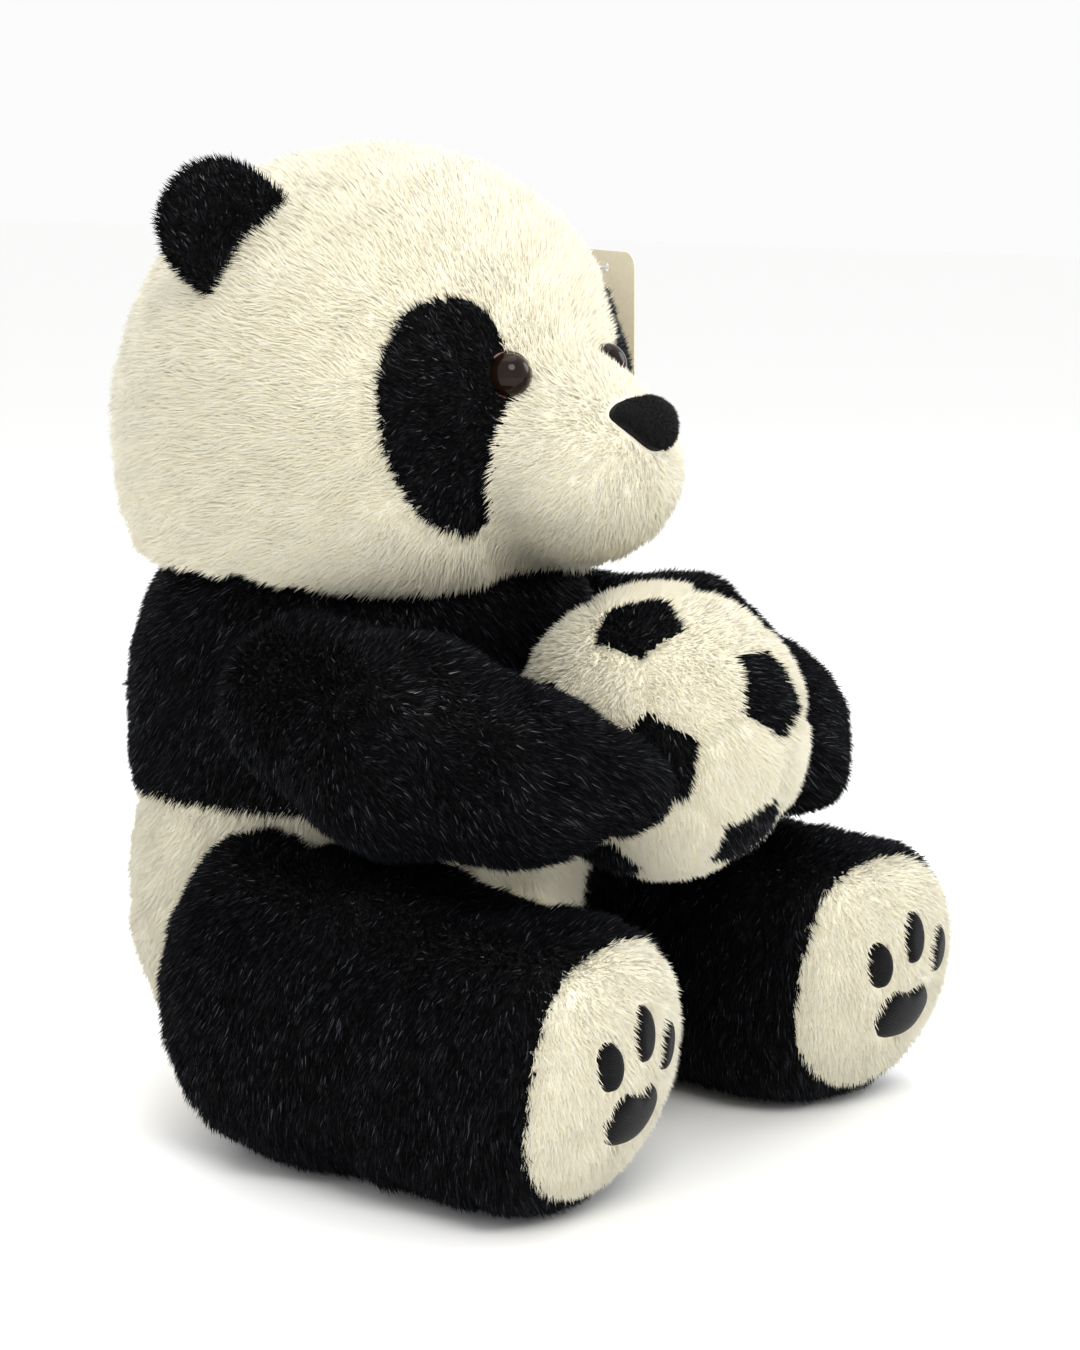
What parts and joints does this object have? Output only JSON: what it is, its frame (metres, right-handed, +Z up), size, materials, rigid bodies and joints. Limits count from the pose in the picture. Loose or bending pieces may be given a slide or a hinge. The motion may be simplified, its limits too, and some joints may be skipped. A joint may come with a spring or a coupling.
{
  "type": "plush toy panda",
  "caption": "Seated plush panda with stuffed limbs that holds a removable plush football between its paws; the head turns and nods, the arms and legs open outward.",
  "frame": {"origin": "the middle of the bounding box in X and Y, on the surface that the panda sits on", "axes": "+Z up; the panda faces -Y and its own left is +X"},
  "size_m": [0.345, 0.3486, 0.4481],
  "materials": {
    "ivory_plush": "long soft pile, cream white, lying in its nap",
    "black_plush": "long soft pile, black with a silky glint",
    "black_velour": "short dense velour",
    "black_thread": "satin-stitched thread",
    "fibrefill": "loose polyester filling",
    "eye_plastic": "polished, dark",
    "washer_plastic": "moulded",
    "tag_card": "plain coated card",
    "clear_nylon": "translucent moulded nylon"
  },
  "bodies": {
    "torso": {"torso_black_cover": "black_plush", "torso_ivory_cover": "ivory_plush", "torso_stuffing": "fibrefill"},
    "neck": {"neck_stuffing": "fibrefill"},
    "head": {"head_cover": "ivory_plush", "muzzle_cover": "ivory_plush", "right_eye_patch": "black_plush", "left_eye_patch": "black_plush", "right_eye": "eye_plastic", "left_eye": "eye_plastic", "right_eye_washer": "washer_plastic", "left_eye_washer": "washer_plastic", "head_stuffing": "fibrefill", "nose": "black_velour", "tag_fastener": "clear_nylon"},
    "right_ear": {"right_ear_front": "black_plush", "right_ear_back": "black_plush"},
    "left_ear": {"left_ear_front": "black_plush", "left_ear_back": "black_plush"},
    "right_arm": {"right_arm_cover": "black_plush", "right_arm_stuffing": "fibrefill"},
    "left_arm": {"left_arm_cover": "black_plush", "left_arm_stuffing": "fibrefill"},
    "right_leg": {"right_leg_cover": "black_plush", "right_sole": "ivory_plush", "right_leg_stuffing": "fibrefill", "right_inner_toe_pad": "black_thread", "right_middle_toe_pad": "black_thread", "right_outer_toe_pad": "black_thread", "right_heel_pad": "black_thread"},
    "left_leg": {"left_leg_cover": "black_plush", "left_sole": "ivory_plush", "left_leg_stuffing": "fibrefill", "left_inner_toe_pad": "black_thread", "left_middle_toe_pad": "black_thread", "left_outer_toe_pad": "black_thread", "left_heel_pad": "black_thread"},
    "ball": {"ball_ivory_panels": "ivory_plush", "ball_stuffing": "fibrefill", "ball_black_panel_1": "black_plush", "ball_black_panel_2": "black_plush", "ball_black_panel_3": "black_plush", "ball_black_panel_4": "black_plush", "ball_black_panel_5": "black_plush", "ball_black_panel_6": "black_plush", "ball_black_panel_7": "black_plush", "ball_black_panel_8": "black_plush", "ball_black_panel_9": "black_plush", "ball_black_panel_10": "black_plush", "ball_black_panel_11": "black_plush", "ball_black_panel_12": "black_plush"},
    "tag": {"hang_tag": "tag_card"}
  },
  "joints": [
    {"name": "head_turn", "type": "hinge", "parent": "torso", "child": "neck", "pos_m": [0, 0.06664, 0.185], "axis": [0, 0, 1], "range_deg": [-20, 20], "stiffness_Nm_per_rad": 3},
    {"name": "head_nod", "type": "hinge", "parent": "neck", "child": "head", "pos_m": [0, 0.06664, 0.185], "axis": [-1, 0, 0], "range_deg": [0, 12], "stiffness_Nm_per_rad": 8},
    {"name": "right_ear_flex", "type": "hinge", "parent": "head", "child": "right_ear", "pos_m": [-0.101, 0.06664, 0.404], "axis": [-0.591, 0.2004, -0.7814], "range_deg": [-15, 15], "stiffness_Nm_per_rad": 0.05},
    {"name": "left_ear_flex", "type": "hinge", "parent": "head", "child": "left_ear", "pos_m": [0.101, 0.06664, 0.404], "axis": [0.591, 0.2004, -0.7814], "range_deg": [-15, 15], "stiffness_Nm_per_rad": 0.05},
    {"name": "right_arm_open", "type": "hinge", "parent": "torso", "child": "right_arm", "pos_m": [-0.096, 0.02264, 0.203], "axis": [0, 0, -1], "range_deg": [0, 35], "stiffness_Nm_per_rad": 0.8},
    {"name": "left_arm_open", "type": "hinge", "parent": "torso", "child": "left_arm", "pos_m": [0.096, 0.02264, 0.203], "axis": [0, 0, 1], "range_deg": [0, 35], "stiffness_Nm_per_rad": 0.8},
    {"name": "right_leg_open", "type": "hinge", "parent": "torso", "child": "right_leg", "pos_m": [-0.104, 0.04664, 0.074], "axis": [0, 0, -1], "range_deg": [0, 20], "stiffness_Nm_per_rad": 2},
    {"name": "left_leg_open", "type": "hinge", "parent": "torso", "child": "left_leg", "pos_m": [0.104, 0.04664, 0.074], "axis": [0, 0, 1], "range_deg": [0, 20], "stiffness_Nm_per_rad": 2},
    {"name": "ball_out", "type": "slide", "parent": "torso", "child": "ball", "axis": [0, -0.866, 0.5], "range_m": [0, 0.26]},
    {"name": "tag_swing", "type": "hinge", "parent": "head", "child": "tag", "pos_m": [0.13, 0.02064, 0.386], "axis": [-0.3903, -0.9207, 0], "range_deg": [0, 40]}
  ]
}
